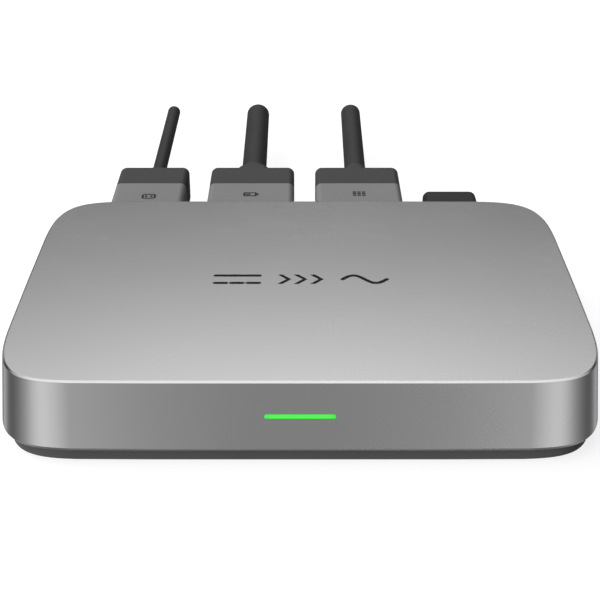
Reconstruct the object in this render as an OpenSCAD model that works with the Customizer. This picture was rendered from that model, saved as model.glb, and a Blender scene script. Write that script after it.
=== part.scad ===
// Micro inverter: a flat sealed case with a front status light, three locking plugs with
// cable stubs and a radio antenna at the back.
// Frame: millimetres, +Z up, origin at the centre of the underside, the status light faces -Y
// and the plugs leave towards +Y.

/* [Case] */
// Width of the case at its top edge
case_w = 242.2; // [241:0.1:243.4]
// Depth of the case at its top edge
case_d = 169; // [168:0.5:171]
// Height of the case from the underside to the top face
case_h = 36.8; // [36.4:0.1:38]
// Reach of the rounded corners along the width
corner_x = 63; // [58:1:66]
// Reach of the rounded corners along the depth
corner_y = 80; // [72:1:82]
// Fullness of the corner curve, where 2 is a plain arc
corner_p = 5.9; // [5:0.1:6.4]
// Side wall thickness of the top shell
wall_t = 4.2; // [4:0.1:4.4]
// Thickness of the top face
top_t = 2.8; // [2.4:0.1:3]
// Outward lean of the side walls from their upper to their lower edge
draft = 2.7; // [2.2:0.1:2.9]
// Bevel round the top edge
top_bevel = 0.55; // [0.3:0.05:0.8]
// Height of the bevel round the lower edge of the shell
low_bevel = 1.6; // [1.2:0.1:1.8]
// How far that bevel cuts in
low_inset = 0.8; // [0.5:0.1:1.1]

/* [Base plate] */
// Height of the base plate
base_h = 5.9; // [5.6:0.1:6.2]
// How far the base plate stands inside the top edge outline
base_inset = 0.2; // [0.2:0.1:0.8]
// Floor thickness inside the base plate
floor_t = 3.2; // [3:0.1:3.4]
// Spacing of the bracket screw holes from side to side
mount_dx = 150; // [140:5:155]
// Spacing of the bracket screw holes from front to back
mount_dy = 100; // [90:5:102]
// Radius of the bracket screw holes
mount_r = 2; // [1.6:0.1:2.1]

/* [Status light] */
// Height of the light bar's centre line above the underside
light_z = 21.6; // [20.8:0.1:22.4]
// Length of the light bar
light_w = 27.8; // [20:0.2:30]
// Height of the light bar
light_h = 2.1; // [1.8:0.1:2.6]

/* [Ports] */
// Height of the port centre line above the underside
port_z = 21.1; // [21:0.05:21.2]
// Grid plug position from the centre line
grid_x = -79; // [-79.2:0.1:-77.5]
// Battery plug position from the centre line
battery_x = -25.7; // [-26.2:0.1:-25.2]
// Solar plug position from the centre line
solar_x = 30.7; // [30.3:0.1:31.2]
// Width of the grid plug
grid_w = 37.5; // [37:0.5:40]
// Width of the battery and solar plugs
dc_w = 45; // [44:0.5:45.5]
// Height of the plugs
plug_h = 20; // [19.8:0.1:20.2]
// Where the rear face of the plug boots lies
plug_end = 143.2; // [138:0.2:146]
// Where the cover meets the boot on each plug
plug_joint = 120; // [118:0.5:122]
// Where the cut end of the grid cable lies
grid_cable_end = 255; // [220:1:300]
// Where the cut end of the battery cable lies
battery_cable_end = 250; // [220:1:300]
// Where the cut end of the solar cable lies
solar_cable_end = 252; // [220:1:300]
// Radius of the grid cable
grid_cable_r = 3.8; // [3.4:0.1:4]
// Radius of the battery cable
battery_cable_r = 6.8; // [6:0.1:7]
// Radius of the solar cable
solar_cable_r = 5.9; // [5:0.1:6]
// Sideways lean of the grid cable, in degrees
grid_lean = 0; // [0:0.1:1.5]
// Sideways lean of the battery cable, in degrees
battery_lean = 0.2; // [-0.5:0.1:0.5]
// Sideways lean of the solar cable, in degrees
solar_lean = -0.4; // [-0.5:0.1:0.5]

/* [Antenna] */
// Antenna cover position from the centre line
antenna_x = 77.8; // [76.8:0.1:77.8]
// Width of the antenna cover
antenna_w = 27.5; // [26:0.5:27.5]
// Where the rear face of the antenna cover lies
antenna_end = 111.2; // [104:0.2:114]

/* [Hidden] */
$fn = 48;

// Case
half_d = case_d / 2;
inner_top = case_h - top_t;
wall_low = base_h + low_bevel;  // lower edge of the side walls
wall_top = case_h - top_bevel;  // upper edge of the side walls
groove_in = 3.2;                // gasket line, measured in from the top edge outline
groove_depth = 1;
pocket_w = 214;                 // pocket in the base plate
pocket_d = 142;
pocket_r = 34;
vent_x = -40;

// Port window and its frame
window_left = -100.6;
window_right = 94.6;
window_w = window_right - window_left;
window_x = (window_left + window_right) / 2;
window_h = 21;
frame_rim = 6.4;                // frame width beyond each side of the window
frame_in = half_d - 7;          // inner face of the port frame in the shell
panel_face = half_d - 2.1;      // rear face of the port panel
panel_in = frame_in - 2.6;      // inner face of the port panel

// Boards
board_z = 9;
board_t = 1.6;
board_top = board_z + board_t;

// Plugs and sockets, places along Y unless noted
nose_end = half_d - 16.5;       // front end of a plug's nose
socket_back = half_d - 17.5;    // floor of a socket
cover_front = panel_face + 0.8;
wiring_y = half_d + 16;         // front of the wiring space in a plug
pocket_end = plug_joint - 4;    // rear end of the latch pocket
latch_y = half_d + 7;           // latch pivot
latch_z = port_z - 7.3;         // height of the latch pivot
latch_low = port_z - 9.6;       // underside of the latch
jacket_t = 1.3;                 // wall of a cable jacket

// Places [x, y] of screws and standoffs
edge_screws = [
  [-106, -68], [106, -68], [-106, 68], [106, 68],
  [-113.4, 0], [113.4, 0], [-45, -77], [45, -77]];
rear_screws = [[-52.3, 77.2], [2.5, 77.2], [58.5, 77.2]];
case_screws = concat(edge_screws, rear_screws);
standoffs = [[-94, -50], [94, -50], [-94, 48], [94, 48], [0, -70], [0, 44]];
mounts = [for (side = [-1, 1], end = [-1, 1]) [side * mount_dx / 2, end * mount_dy / 2]];

// Ports [x, plug width]
ports = [[grid_x, grid_w], [battery_x, dc_w], [solar_x, dc_w]];

// Pins of each port [sideways offset, radius]
grid_pins = [[-9, 1.5], [0, 1.5], [9, 1.5]];
battery_pins = [[-12, 2.2], [-4.6, 0.8], [0, 0.8], [4.6, 0.8], [12, 2.2]];
solar_pins = [[-12.6, 1.5], [-4.2, 1.5], [4.2, 1.5], [12.6, 1.5]];

// Colours
dark = [0.3, 0.3, 0.3];
pale = [0.51, 0.51, 0.51];
brass = [0.85, 0.68, 0.35];
rubber = [0.1, 0.1, 0.1];
gasket_black = [0.08, 0.08, 0.08];
jacket_black = [0.16, 0.16, 0.16];
steel = [0.7, 0.7, 0.7];
socket_black = [0.13, 0.13, 0.14];
small_board_green = [0.05, 0.25, 0.12];
dc_core_red = [0.5, 0.1, 0.1];

// ---------- outlines ----------
// Rectangle with corners that reach rx and ry, as points
function outline(width, depth, rx, ry, fullness, steps = 20) = [
  for (quarter = [0:3], i = [0:steps]) let (
    side_x = quarter == 0 || quarter == 3 ? 1 : -1,
    side_y = quarter < 2 ? 1 : -1,
    angle = quarter * 90 + i * 90 / steps,
    cosine = cos(angle),
    sine = sin(angle))
  [side_x * (width / 2 - rx) + rx * sign(cosine) * pow(abs(cosine), 2 / fullness),
   side_y * (depth / 2 - ry) + ry * sign(sine) * pow(abs(sine), 2 / fullness)]];

// Case outline moved outwards by gap (inwards when negative)
function grown(gap) =
  outline(case_w + 2 * gap, case_d + 2 * gap, corner_x + gap, corner_y + gap, corner_p);

// Outline of something held inside the case
function inside(width, depth, radius) = outline(width, depth, radius, radius, 3.5, 16);

// Outward lean of the wall at height z
function lean_out(z) = draft * (wall_top - z) / (wall_top - wall_low);

// Range reaching half to each side of middle
function around(middle, half) = [middle - half, middle + half];

function reversed(list) = [for (i = [len(list) - 1:-1:0]) list[i]];

// ---------- basic solids ----------
// Solid through rings of 3D points; flip turns its faces over
module skin(rings, flip = false) {
  count = len(rings[0]);
  last = len(rings) - 1;
  sides = [
    for (j = [0:last - 1], i = [0:count - 1])
      let (a = j * count + i, b = j * count + (i + 1) % count)
      each [[a, a + count, b + count], [a, b + count, b]]];
  faces = concat(
    [[for (i = [0:count - 1]) i]],
    sides,
    [[for (i = [count - 1:-1:0]) last * count + i]]);
  polyhedron(
    points = [for (ring = rings) each ring],
    faces = flip ? [for (face = faces) reversed(face)] : faces);
}

// Solid lofted upwards through [height, outline] levels
module loft(levels) {
  skin([for (level = levels) [for (point = level[1]) [point[0], point[1], level[0]]]]);
}

// Solid along Y through [y, width, height, corner radius] sections;
// past y = from it leans sideways by angle degrees
module bar_loft(x, z, sections, angle = 0, from = 0) {
  skin(flip = true, rings = [
    for (section = sections)
      let (
        y = section[0],
        radius = section[3],
        shift = max(0, y - from) * tan(angle))
      [for (point = outline(section[1], section[2], radius, radius, 2, 6))
        [x + point[0] - shift, y, z + point[1]]]]);
}

// Sections of a round-edged rear end, whose top and bottom edges are rounded by squash times radius
function end_sections(width, height, radius, y1, squash = 1, steps = 5) = [
  for (i = [0:steps]) let (angle = i * 90 / steps, narrowing = 2 * radius * (1 - cos(angle)))
  [y1 - radius + radius * sin(angle),
   width - narrowing,
   height - squash * narrowing,
   max(radius * cos(angle), 0.5)]];

// Flat rounded rectangle, centred
module rounded_rect(width, height, radius) {
  union() {
    square([width - 2 * radius, height], center = true);
    if (height - 2 * radius > 0.001) square([width, height - 2 * radius], center = true);
    for (side = [-1, 1], end = [-1, 1])
      translate([side * (width / 2 - radius), end * (height / 2 - radius)]) circle(r = radius);
  }
}

// Rounded bar along Y from y0 to y1, centred on x and z
module y_bar(x, z, width, height, radius, y0, y1) {
  translate([x, y1, z]) rotate([90, 0, 0])
    linear_extrude(height = y1 - y0) rounded_rect(width, height, radius);
}

// Round bar along Y
module y_rod(x, z, radius, y0, y1) {
  translate([x, y1, z]) rotate([90, 0, 0]) cylinder(r = radius, h = y1 - y0);
}

// Round bar along X that starts at x
module x_rod(x, y, z, radius, length) {
  translate([x, y, z]) rotate([0, 90, 0]) cylinder(r = radius, h = length);
}

// Round bar from one point to another
module rod(start, finish, radius) {
  run = finish - start;
  translate(start) rotate([0, acos(run[2] / norm(run)), atan2(run[1], run[0])])
    cylinder(r = radius, h = norm(run));
}

// Box given by its [from, to] range on each axis
module block(xs, ys, zs) {
  translate([xs[0], ys[0], zs[0]]) cube([xs[1] - xs[0], ys[1] - ys[0], zs[1] - zs[0]]);
}

// Repeats its children at [x, y] places, at height z
module at(places, z = 0) {
  for (place = places) translate([place[0], place[1], z]) children();
}

// Bar with the port window's outline, made wider and higher
module window_bar(wider, higher, radius, y0, y1) {
  y_bar(window_x, port_z, window_w + wider, window_h + higher, radius, y0, y1);
}

// Bar with a plug's outer section, made larger by grow
module plug_bar(x, width, grow, radius, y0, y1) {
  y_bar(x, port_z, width + grow, plug_h + grow, radius, y0, y1);
}

// Bar with the section of a plug's nose, made larger by grow
module nose_bar(x, width, grow, radius, y0, y1) {
  y_bar(x, port_z, width - 8 + grow, plug_h - 7 + grow, radius, y0, y1);
}

// ---------- case ----------
module shell_walls() difference() {
  loft([
    [base_h, grown(draft - low_inset)],
    [wall_low, grown(draft)],
    [wall_top, grown(0)],
    [case_h, grown(-top_bevel)]]);
  translate([0, 0, base_h - 1])
    linear_extrude(height = inner_top - base_h + 1) polygon(grown(-wall_t));
}

// Frame round the ports, its ends kept inside the corner curves
module port_frame() difference() {
  block(
    [window_left - frame_rim, window_right + frame_rim],
    [frame_in, half_d - 2.5],
    [base_h, inner_top + 1]);
  difference() {
    block([-130, 130], [60, 100], [base_h - 1, inner_top + 2]);
    translate([0, 0, base_h - 2])
      linear_extrude(height = inner_top - base_h + 4) polygon(grown(-2));
  }
}

module top_shell() color([0.62, 0.62, 0.63]) {
  slot_h = light_h + 0.2;
  screw_hole_r = 1.55;
  difference() {
    union() {
      shell_walls();
      // screw bosses
      at(edge_screws, base_h) cylinder(r = 4, h = inner_top - base_h + 1);
      port_frame();
      // bar under the frame
      block(
        [window_left + 2.6, window_right - 2.6],
        [frame_in - 4.5, frame_in + 1],
        [base_h, port_z - 11.3]);
    }
    window_bar(0, 0, 3.2, frame_in - 1, half_d + 3);
    // light bar slot
    y_bar(0, light_z, light_w + 0.2, slot_h, slot_h / 2, -half_d - 3, -half_d + wall_t + 1);
    at(edge_screws, base_h - 1) cylinder(r = screw_hole_r, h = 5.2);
    at(rear_screws, base_h - 1) cylinder(r = screw_hole_r, h = 4.2);
  }
}

// Ring along the gasket line, reaching half_width to each side
module gasket_ring(half_width, height) {
  linear_extrude(height = height) difference() {
    polygon(grown(-groove_in + half_width));
    polygon(grown(-groove_in - half_width));
  }
}

module base_plate() color([0.3, 0.3, 0.31]) {
  edge_bevel = 0.3;
  difference() {
    union() {
      difference() {
        loft([
          [0, grown(-base_inset - edge_bevel)],
          [edge_bevel, grown(-base_inset)],
          [base_h, grown(-base_inset)]]);
        // inside pocket
        translate([0, 0, floor_t])
          linear_extrude(height = base_h) polygon(inside(pocket_w, pocket_d, pocket_r));
        // gasket groove
        translate([0, 0, base_h - groove_depth]) gasket_ring(0.6, 2);
      }
      at(standoffs, floor_t - 1) cylinder(r = 3.5, h = board_z - floor_t + 1);
      at(mounts, floor_t - 1) cylinder(r = 5.2, h = 5.4);
    }
    at(standoffs, 4) cylinder(r = 1.3, h = 10);
    at(mounts, -1) cylinder(r = mount_r, h = 7);
    // screw holes and head recesses
    at(case_screws, -1) {
      cylinder(r = 1.7, h = 10);
      cylinder(r = 2.95, h = 3.4);
    }
    // vent seat
    translate([vent_x, 0, -1]) {
      cylinder(r = 4.05, h = 6);
      cylinder(r = 7.3, h = 2.4);
    }
  }
}

module case_gasket() color(gasket_black)
  translate([0, 0, base_h - groove_depth]) gasket_ring(0.55, groove_depth);

module base_screws() color([0.55, 0.55, 0.56])
  at(case_screws) difference() {
    union() {
      translate([0, 0, 0.3]) cylinder(r = 2.75, h = 2.1);
      translate([0, 0, 2]) cylinder(r = 1.5, h = base_h + 0.8);
    }
    translate([0, 0, -1]) cylinder(r = 1.45, h = 2.5, $fn = 6);
  }

module vent_plug() color([0.12, 0.12, 0.12]) translate([vent_x, 0, 0]) difference() {
  union() {
    translate([0, 0, 0.3]) cylinder(r = 7, h = 1.1);
    translate([0, 0, 1]) cylinder(r = 4, h = 4);
  }
  translate([0, 0, 0.9]) cylinder(r = 2.6, h = 6);
  for (angle = [0:60:300])
    rotate([0, 0, angle]) translate([1.5, 0, -1]) cylinder(r = 0.5, h = 4, $fn = 24);
}

// ---------- status light ----------
light_back = -half_d + wall_t + 1;  // inner face of the light guide
led_board_y = -half_d + 6.3;        // front face of the LED board
led_pitch = 5.6;

module light_guide() color([0.3, 0.95, 0.3]) {
  light_face = -half_d - lean_out(light_z) - 0.05;
  y_bar(0, light_z, light_w, light_h, light_h / 2, light_face, light_back);
  // flange inside the wall
  y_bar(0, light_z, light_w + 3, light_h + 2.6, 1.2, light_back - 1, light_back);
}

module led_board() color(small_board_green)
  block([-17, 17], [led_board_y, led_board_y + 1], [board_top, board_top + 15]);

module status_leds() color([0.95, 0.93, 0.8])
  for (i = [-2:2])
    block(around(i * led_pitch, 1.6), [led_board_y - 0.95, led_board_y], around(light_z, 0.8));

// ---------- ports ----------
module port_panel() color([0.1, 0.1, 0.1]) difference() {
  union() {
    window_bar(-0.4, -0.4, 3, panel_in, panel_face);
    window_bar(3.6, 1, 3, panel_in, frame_in - 0.8);
  }
  for (port = ports) {
    nose_bar(port[0], port[1], 3.8, 2.7, frame_in - 4, panel_face + 1);
    // room for the latch nose
    block(around(port[0], 6.4), [panel_face - 3.6, panel_face + 1], [port_z - 11, port_z - 8]);
  }
  y_bar(antenna_x, port_z, 20, 8, 1.5, frame_in - 4, panel_face + 1);
}

module port_panel_gasket() color(gasket_black) difference() {
  window_bar(3.4, 0.8, 3, frame_in - 0.8, frame_in);
  window_bar(-0.3, -0.3, 3, frame_in - 1.8, frame_in + 1);
}

module socket(x, width, pins) difference() {
  union() {
    nose_bar(x, width, 3.6, 2.6, socket_back - 7, panel_face);
    // flange against the inside of the panel
    y_bar(x, port_z, width, plug_h - 0.2, 2.6, panel_in - 2, panel_in);
  }
  nose_bar(x, width, 0.4, 2.2, socket_back, panel_face + 1);
  for (pin = pins) y_rod(x + pin[0], port_z, pin[1], socket_back - 8, socket_back + 1);
}

// Each pin lies along Y through the socket's floor, and its tail drops to the board
module socket_pins(x, pins) {
  for (pin = pins) {
    y_rod(x + pin[0], port_z, pin[1], socket_back - 11, socket_back + 12);
    translate([x + pin[0], socket_back - 9.6, board_top])
      cylinder(r = min(pin[1], 1.2), h = port_z - board_top);
  }
}

module grid_socket() color(socket_black) socket(grid_x, grid_w, grid_pins);
module battery_socket() color(socket_black) socket(battery_x, dc_w, battery_pins);
module solar_socket() color(socket_black) socket(solar_x, dc_w, solar_pins);
module grid_socket_pins() color(brass) socket_pins(grid_x, grid_pins);
module battery_socket_pins() color(brass) socket_pins(battery_x, battery_pins);
module solar_socket_pins() color(brass) socket_pins(solar_x, solar_pins);

// ---------- antenna ----------
module antenna_cover() color([0.22, 0.22, 0.22]) difference() {
  bar_loft(antenna_x, port_z, concat(
    [[panel_face, antenna_w, plug_h, 3]],
    end_sections(antenna_w, plug_h, 3, antenna_end)));
  plug_bar(antenna_x, antenna_w, -3.2, 1.6, panel_face - 1, antenna_end - 1.8);
}

module antenna_board() color(small_board_green)
  block(around(antenna_x, 9), [frame_in - 18, antenna_end - 4.5], around(port_z, 0.5));

// Thin radio lead from the antenna board over a half turn down to the main board
module antenna_lead() color([0.15, 0.15, 0.15]) {
  lead_x = antenna_x - 4;
  lead_y = frame_in - 15;
  lead_r = 0.7;
  bend_r = 4;
  end_r = 1.3;
  end_h = 1.8;
  bend_z = port_z + 0.5 + end_h;
  translate([lead_x, lead_y, port_z + 0.5]) cylinder(r = end_r, h = end_h);
  translate([lead_x - bend_r, lead_y, bend_z]) rotate([90, 0, 0])
    rotate_extrude(angle = 180, $fn = 48) translate([bend_r, 0]) circle(r = lead_r, $fn = 24);
  translate([lead_x - 2 * bend_r, lead_y, board_top + end_h])
    cylinder(r = lead_r, h = bend_z - board_top - end_h);
  translate([lead_x - 2 * bend_r, lead_y, board_top]) cylinder(r = end_r, h = end_h);
}

// ---------- electronics ----------
transformer_xs = [-30, 22];
transformer_y = -6;
choke_places = [[-80, 22], [-58, -44]];
control_y = 30;                 // front face of the control board
control_t = 1.2;
transistor_banks = [-20, 57];   // x of each bank's middle
transistor_xs = [-16, 0, 16];   // places within a bank
transistor_hole_z = board_top + 17;
transistor_hole_r = 1.8;

module main_board() color([0.05, 0.3, 0.15]) difference() {
  translate([0, -6.5, board_z]) linear_extrude(height = board_t) polygon(inside(202, 144, 28));
  at(edge_screws, board_z - 1) cylinder(r = 4.8, h = 4);
  at(standoffs, board_z - 1) cylinder(r = 1.6, h = 4);
}

module board_screws() color([0.6, 0.6, 0.6])
  at(standoffs) difference() {
    union() {
      translate([0, 0, board_top]) cylinder(r = 2.6, h = 1.9);
      translate([0, 0, 4.5]) cylinder(r = 1.25, h = board_top - 4);
    }
    translate([0, 0, board_top + 0.8]) cylinder(r = 1.2, h = 3, $fn = 6);
  }

// Upright board with a row of five chips on its front
module control_board() color([0.04, 0.22, 0.12]) {
  block([-32, 32], [control_y, control_y + control_t], [board_top, board_top + 19]);
  for (i = [-2:2])
    block(
      around(i * 11, 4),
      [control_y - 1.2, control_y],
      around(board_top + 7 + 2 * (i % 2), 3));
}

module wireless_module() color([0.75, 0.75, 0.76])
  block([8, 27], [control_y + control_t, 34], [board_top + 3, board_top + 16]);

module dc_capacitors() color([0.12, 0.13, 0.2])
  for (i = [0:1], j = [0:3]) translate([62 + i * 20, -34 + j * 20, board_top]) difference() {
    union() {
      cylinder(r = 8, h = 21);
      cylinder(r = 8.4, h = 1.2);
    }
    // cross scored in the top
    translate([0, 0, 20.5]) {
      cube([12, 0.5, 2], center = true);
      cube([0.5, 12, 2], center = true);
    }
  }

module film_capacitors() color([0.75, 0.6, 0.15])
  for (i = [0:2]) block([-94, -68], around(-23 + i * 12, 5), [board_top, board_top + 17]);

module transformer_cores() color([0.14, 0.14, 0.15])
  for (x = transformer_xs) translate([x, transformer_y, board_top]) {
    difference() {
      block([-19, 19], [-15, 15], [0.6, 21.6]);
      translate([0, 0, 5]) cylinder(r = 14.2, h = 12.2);
      block([-10, 10], [-20, 20], [5, 17.2]);
    }
    // centre post
    translate([0, 0, 4]) cylinder(r = 6.5, h = 14);
  }

module transformer_windings() color([0.75, 0.42, 0.2])
  for (x = transformer_xs) translate([x, transformer_y, board_top + 5.4]) difference() {
    cylinder(r = 13.8, h = 11.4);
    translate([0, 0, -1]) cylinder(r = 6.7, h = 14);
  }

module choke_cores() color([0.1, 0.28, 0.22])
  at(choke_places, board_top + 2.4) rotate_extrude() translate([7, 0]) square([6, 11]);

// Two windings on each ring core, each over a third of the turn
module choke_windings() color([0.75, 0.4, 0.18])
  at(choke_places, board_top + 2.4) for (start = [30, 210]) rotate([0, 0, start])
    rotate_extrude(angle = 120) difference() {
      translate([5.4, -1.6]) square([9.2, 14.2]);
      translate([6.95, -0.05]) square([6.1, 11.1]);
    }

module relays() color([0.1, 0.1, 0.12])
  for (x = [-52, -40]) block(around(x, 5), [28, 48], [board_top, board_top + 15.6]);

module power_transistors() color([0.1, 0.1, 0.1])
  for (bank = transistor_banks, x = transistor_xs) translate([bank + x, 0, 0]) {
    difference() {
      block([-7.5, 7.5], [-64.8, -60], [board_top + 3, board_top + 21]);
      y_rod(0, transistor_hole_z, transistor_hole_r, -68, -58);
    }
    // three legs
    for (i = [-1:1]) block(around(i * 4.4, 0.5), [-62.8, -62], [board_top, board_top + 3.2]);
  }

module transistor_clamps() color([0.7, 0.7, 0.71])
  for (bank = transistor_banks) difference() {
    block(around(bank, 24.5), [-59.9, -56.4], [board_top + 5, board_top + 22.9]);
    for (x = transistor_xs) y_rod(bank + x, transistor_hole_z, transistor_hole_r, -62, -50);
  }

// Fills the base pocket up to just under the main board
module thermal_potting() color([0.35, 0.36, 0.38]) difference() {
  translate([0, 0, floor_t]) linear_extrude(height = board_z - floor_t - 0.2) intersection() {
    polygon(inside(pocket_w - 0.6, pocket_d - 0.6, pocket_r));
    translate([0, -3.5]) square([196, 134], center = true);
  }
  at(standoffs) cylinder(r = 3.6, h = 20);
  at(mounts) cylinder(r = 5.3, h = 20);
  translate([vent_x, 0, 0]) cylinder(r = 9, h = 20);
}

// ---------- plugs ----------
module plug_housing(x, width, pins) difference() {
  union() {
    plug_bar(x, width, -3.4, 1.5, panel_face + 1.2, plug_joint - 0.1);
    nose_bar(x, width, 0, 2, nose_end, panel_face + 1.3);
  }
  // seal groove
  difference() {
    plug_bar(x, width, 0, 2, panel_face - 2, panel_face);
    nose_bar(x, width, -1.6, 1.4, panel_face - 2.5, panel_face + 0.5);
  }
  // contact bores
  for (pin = pins) y_rod(x + pin[0], port_z, pin[1] + 0.9, nose_end - 1, wiring_y + 0.2);
  // wiring space, higher at the rear
  y_bar(x, port_z + 1.25, width - 7, 10.9, 1.5, wiring_y, plug_joint + 1);
  y_bar(x, port_z, width - 7, 13.4, 1.5, plug_joint - 3.2, plug_joint + 1);
  // latch pocket, and the pin bore that opens on one side under the cover
  block(around(x, 6.3), [panel_face + 0.5, pocket_end], [port_z - 12, latch_z + 2.3]);
  x_rod(x - 8.6, latch_y, latch_z, 1.02, 8.6 + width / 2);
}

module plug_cover(x, width) difference() {
  plug_bar(x, width, 0, 3, cover_front, plug_joint);
  plug_bar(x, width, -3.3, 1.5, cover_front - 1, plug_joint + 1);
  // latch opening
  block(around(x, 6.3), [cover_front - 1, pocket_end], [port_z - 12, port_z - 5]);
}

// Turns a cable about the back of its plug
module lean(x, angle) {
  translate([x, plug_end, 0]) rotate([0, 0, angle]) translate([-x, -plug_end, 0]) children();
}

// Boot with a strain relief that narrows from root [width, height, corner radius] to the cable
module plug_boot(x, width, cable_r, angle, root) {
  root_w = root[0];
  root_h = root[1];
  root_r = root[2];
  spare_w = root_w - 2 * cable_r;
  spare_h = root_h - 2 * cable_r;
  tip = 2 * cable_r + 1;
  // [y, width, height, corner radius]
  relief = [
    [plug_end, root_w, root_h, root_r],
    [plug_end + 6, root_w, root_h, root_r],
    [plug_end + 8.4, root_w - 0.2 * spare_w, root_h - 0.2 * spare_h, (root_r + cable_r) / 2],
    [plug_end + 10.8, root_w - 0.5 * spare_w, root_h - 0.5 * spare_h, cable_r],
    [plug_end + 13.6, tip, tip, cable_r + 0.4]];
  difference() {
    bar_loft(x, port_z, concat(
      [[plug_joint, width, plug_h, 3]],
      end_sections(width, plug_h, 3, plug_end, 0.7),
      relief), angle, plug_end);
    lean(x, angle) y_rod(x, port_z, cable_r, plug_joint + 4, plug_end + 40);
    lean(x, angle) y_rod(x, port_z, cable_r - jacket_t, plug_joint - 1, plug_joint + 5);
  }
}

// Sleeves, hollow at the front for the pins and at the rear for the wires
module plug_contacts(x, pins) {
  for (pin = pins) difference() {
    y_rod(x + pin[0], port_z, pin[1] + 0.85, nose_end + 0.6, wiring_y - 0.2);
    y_rod(x + pin[0], port_z, pin[1] + 0.08, nose_end - 1, wiring_y - 13);
    y_rod(x + pin[0], port_z, pin[1] * 0.7, wiring_y - 8, wiring_y + 1);
  }
}

module plug_seal(x, width) difference() {
  nose_bar(x, width, 0.3, 2.15, panel_face - 1.95, panel_face - 0.05);
  nose_bar(x, width, -1.6, 1.4, panel_face - 3, panel_face + 1);
}

module cable_jacket(x, cable_r, angle, end) lean(x, angle) difference() {
  y_rod(x, port_z, cable_r, plug_joint + 5, end);
  y_rod(x, port_z, cable_r - jacket_t, plug_joint + 4, end + 1);
}

// Each core is [x, z, radius]: it runs inside the jacket, then fans out, and its bare end sits
// in the back of a contact
module cable_cores(x, angle, end, cores, pins) {
  core_start = plug_joint - 2.4;
  fan_y = core_start + 2;
  turn = (fan_y - plug_end) * sin(angle);
  for (i = [0:len(cores) - 1]) {
    core = cores[i];
    pin_x = x + pins[i][0];
    core_z = port_z + core[1];
    lean(x, angle) y_rod(x + core[0], core_z, core[2], core_start, end);
    rod([pin_x, wiring_y + 1.2, port_z], [x + core[0] - turn, fan_y, core_z], core[2] * 0.8);
    y_rod(pin_x, port_z, pins[i][1] * 0.6, wiring_y - 7, wiring_y + 2);
  }
}

// Rocker on the underside of a plug: the rear pad is pressed up, and the front nose drops
// clear of the socket
module latch(x) {
  body_xs = around(x, 5.6);
  nose_xs = around(x, 5.4);
  nose_front = panel_face - 2.6;
  difference() {
    union() {
      block(body_xs, [panel_face + 1, plug_joint - 5.5], [latch_low, port_z - 8]);
      block(nose_xs, [nose_front, panel_face + 1.2], [latch_low, port_z - 8.7]);
      // raised lip at the tip of the nose
      block(nose_xs, [nose_front, nose_front + 0.7], [latch_low, port_z - 8.42]);
      // pivot barrel and its web
      x_rod(body_xs[0], latch_y, latch_z, 2.1, 11.2);
      block(body_xs, around(latch_y, 1.6), [latch_low, latch_z]);
      // grip ribs
      for (i = [0:4]) {
        rib_y = plug_joint - 13 + i * 1.6;
        block(around(x, 4.6), [rib_y, rib_y + 0.8], [latch_low - 0.3, latch_low + 0.1]);
      }
    }
    x_rod(x - 10, latch_y, latch_z, 1.06, 20);
  }
}

module latch_pin(x) x_rod(x - 8.4, latch_y, latch_z, 1, 16.8);

// Room for the cores in a cable, as a radius
function core_room(cable_r) = cable_r - 1.35;

// Grid cable: three equal cores in a ring
grid_core_r = core_room(grid_cable_r) * 0.455;
grid_ring = core_room(grid_cable_r) - grid_core_r;
grid_cores = [
  [-grid_ring * cos(30), -grid_ring / 2, grid_core_r],
  [0, grid_ring, grid_core_r],
  [grid_ring * cos(30), -grid_ring / 2, grid_core_r]];

// Battery cable: a thick core on each side and three thin ones stacked between them
battery_core_r = core_room(battery_cable_r) * 0.42;
battery_side = core_room(battery_cable_r) - battery_core_r;
battery_cores = [
  [-battery_side, 0, battery_core_r],
  [0, -2.2, 0.7], [0, 0, 0.7], [0, 2.2, 0.7],
  [battery_side, 0, battery_core_r]];

// Solar cable: four equal cores in a square
solar_core_r = core_room(solar_cable_r) * 0.385;
solar_side = (core_room(solar_cable_r) - solar_core_r) * sin(45);
solar_cores = [
  [-solar_side, solar_side, solar_core_r], [-solar_side, -solar_side, solar_core_r],
  [solar_side, -solar_side, solar_core_r], [solar_side, solar_side, solar_core_r]];

module grid_plug_housing() color(dark) plug_housing(grid_x, grid_w, grid_pins);
module grid_plug_cover() color(pale) plug_cover(grid_x, grid_w);
module grid_plug_boot() color(dark)
  plug_boot(grid_x, grid_w, grid_cable_r, grid_lean, root = [13.6, 12.8, 4.5]);
module grid_plug_contacts() color(brass) plug_contacts(grid_x, grid_pins);
module grid_plug_seal() color(rubber) plug_seal(grid_x, grid_w);
module grid_cable_jacket() color(jacket_black)
  cable_jacket(grid_x, grid_cable_r, grid_lean, grid_cable_end);
module grid_cable_cores() color([0.3, 0.25, 0.2])
  cable_cores(grid_x, grid_lean, grid_cable_end, grid_cores, grid_pins);
module grid_latch() color(dark) latch(grid_x);
module grid_latch_pin() color(steel) latch_pin(grid_x);

module battery_plug_housing() color(dark) plug_housing(battery_x, dc_w, battery_pins);
module battery_plug_cover() color(pale) plug_cover(battery_x, dc_w);
module battery_plug_boot() color(dark)
  plug_boot(battery_x, dc_w, battery_cable_r, battery_lean, root = [18.4, 15.5, 4]);
module battery_plug_contacts() color(brass) plug_contacts(battery_x, battery_pins);
module battery_plug_seal() color(rubber) plug_seal(battery_x, dc_w);
module battery_cable_jacket() color(jacket_black)
  cable_jacket(battery_x, battery_cable_r, battery_lean, battery_cable_end);
module battery_cable_cores() color(dc_core_red)
  cable_cores(battery_x, battery_lean, battery_cable_end, battery_cores, battery_pins);
module battery_latch() color(dark) latch(battery_x);
module battery_latch_pin() color(steel) latch_pin(battery_x);

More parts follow.
